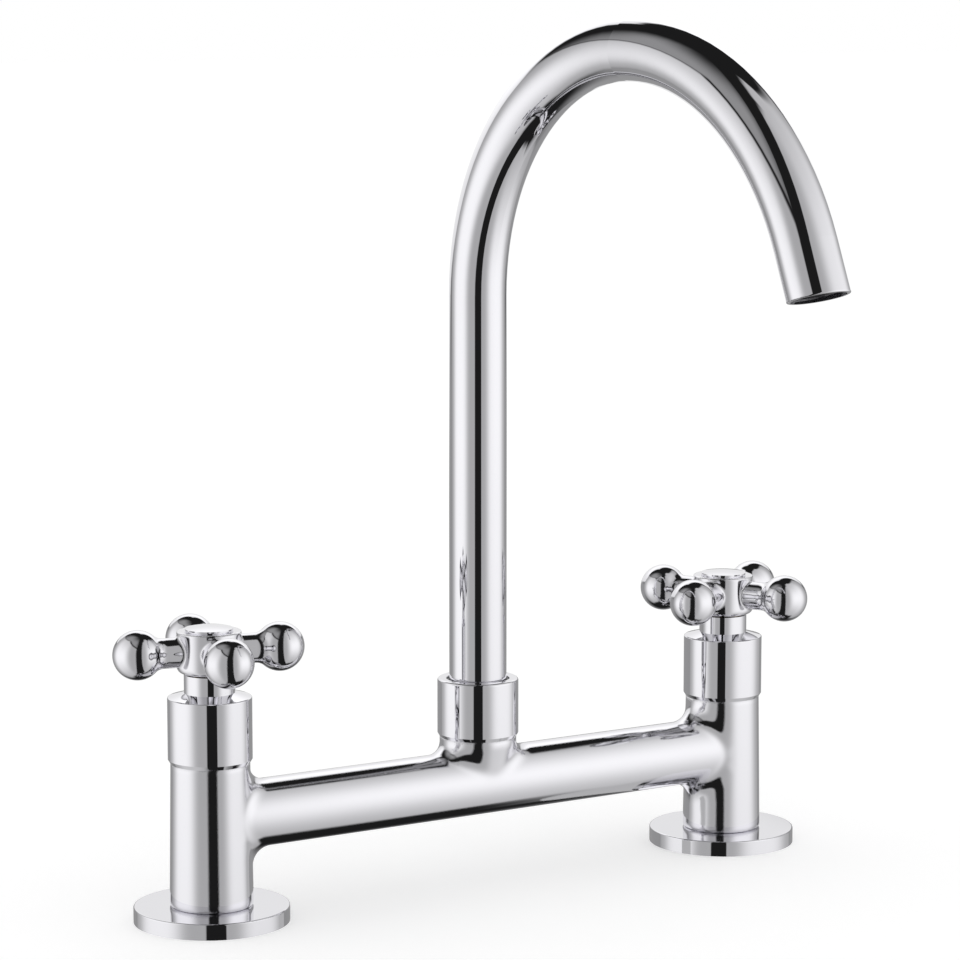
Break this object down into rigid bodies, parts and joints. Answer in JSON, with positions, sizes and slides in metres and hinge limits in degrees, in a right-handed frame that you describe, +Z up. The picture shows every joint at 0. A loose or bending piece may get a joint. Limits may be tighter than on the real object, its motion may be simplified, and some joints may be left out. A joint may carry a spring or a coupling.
{
  "type": "bridge kitchen faucet",
  "caption": "Deck-mounted bridge kitchen faucet with cross-handle valves, a swivelling swan-neck spout and threaded inlet tails, in polished chrome.",
  "frame": {"origin": "on the deck's top face, midway between the two inlet legs", "axes": "+Z up; X along the cross tube, the hot leg at -X and the cold leg at +X; the spout reaches towards -Y, over the sink"},
  "size_m": [0.2629, 0.2092, 0.3486],
  "materials": {
    "chrome_plate": "polished",
    "raw_brass": "satin",
    "zinc_steel": "satin",
    "black_rubber": "matte",
    "disc_ceramic": "satin",
    "dark_plastic": "matte"
  },
  "bodies": {
    "mixer": {"bridge_body": "chrome_plate", "spout_collar": "chrome_plate", "spout_glide_ring": "dark_plastic", "left_base_flange": "chrome_plate", "left_flange_gasket": "black_rubber", "left_inlet_tail": "raw_brass", "left_tail_o_ring": "black_rubber", "left_backing_washer": "black_rubber", "left_clamp_washer": "zinc_steel", "left_back_nut": "raw_brass", "left_cartridge_body": "raw_brass", "left_cartridge_o_ring": "black_rubber", "left_seat_seal": "black_rubber", "left_fixed_disc": "disc_ceramic", "left_valve_sleeve": "chrome_plate", "left_neck_collar": "chrome_plate", "right_base_flange": "chrome_plate", "right_flange_gasket": "black_rubber", "right_inlet_tail": "raw_brass", "right_tail_o_ring": "black_rubber", "right_backing_washer": "black_rubber", "right_clamp_washer": "zinc_steel", "right_back_nut": "raw_brass", "right_cartridge_body": "raw_brass", "right_cartridge_o_ring": "black_rubber", "right_seat_seal": "black_rubber", "right_fixed_disc": "disc_ceramic", "right_valve_sleeve": "chrome_plate", "right_neck_collar": "chrome_plate"},
    "spout": {"spout_tube": "chrome_plate", "spout_ferrule": "raw_brass", "spout_o_rings": "black_rubber", "aerator_insert": "dark_plastic"},
    "left_handle": {"left_crosshead": "chrome_plate", "left_index_cap": "chrome_plate", "left_handle_screw": "zinc_steel", "left_spindle": "raw_brass", "left_spindle_o_rings": "black_rubber", "left_moving_disc": "disc_ceramic", "left_stop_ring": "raw_brass"},
    "right_handle": {"right_crosshead": "chrome_plate", "right_index_cap": "chrome_plate", "right_handle_screw": "zinc_steel", "right_spindle": "raw_brass", "right_spindle_o_rings": "black_rubber", "right_moving_disc": "disc_ceramic", "right_stop_ring": "raw_brass"}
  },
  "joints": [
    {"name": "left_handle_turn", "type": "hinge", "parent": "mixer", "child": "left_handle", "pos_m": [-0.1016, 0, 0.0884], "axis": [0, 0, 1], "range_deg": [0, 90]},
    {"name": "right_handle_turn", "type": "hinge", "parent": "mixer", "child": "right_handle", "pos_m": [0.1016, 0, 0.0884], "axis": [0, 0, 1], "range_deg": [-90, 0]},
    {"name": "spout_swivel", "type": "hinge", "parent": "mixer", "child": "spout", "pos_m": [0, 0, 0.0626], "axis": [0, 0, 1], "continuous": true}
  ]
}
